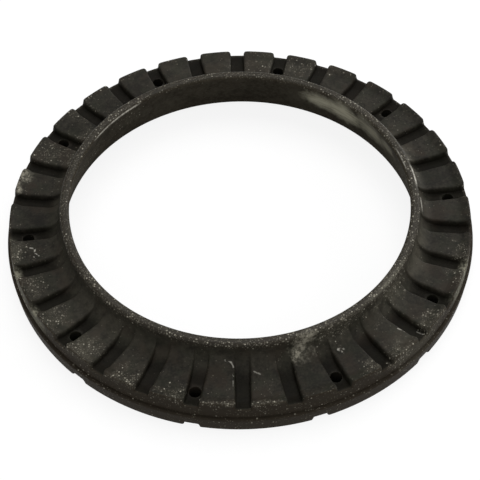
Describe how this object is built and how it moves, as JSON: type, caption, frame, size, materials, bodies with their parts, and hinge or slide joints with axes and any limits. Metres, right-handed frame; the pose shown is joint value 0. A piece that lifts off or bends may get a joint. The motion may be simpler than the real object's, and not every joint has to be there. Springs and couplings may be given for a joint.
{
  "type": "spring top bushing",
  "caption": "Moulded rubber ring that seats the top end of a suspension coil spring: a grooved annular channel round a thin collar, with grooves across its underside.",
  "frame": {"origin": "centre of the opening, in the plane of the underside", "axes": "+Z is the ring's axis, from the underside towards the collar's lip; +Y points to a radial groove of the spring seat that has no pin hole; +X points to the middle of a block"},
  "size_m": [0.16, 0.16, 0.0203],
  "materials": {
    "rubber": "matte"
  },
  "bodies": {
    "root": {"spring_seat_ring": "rubber"}
  },
  "joints": []
}
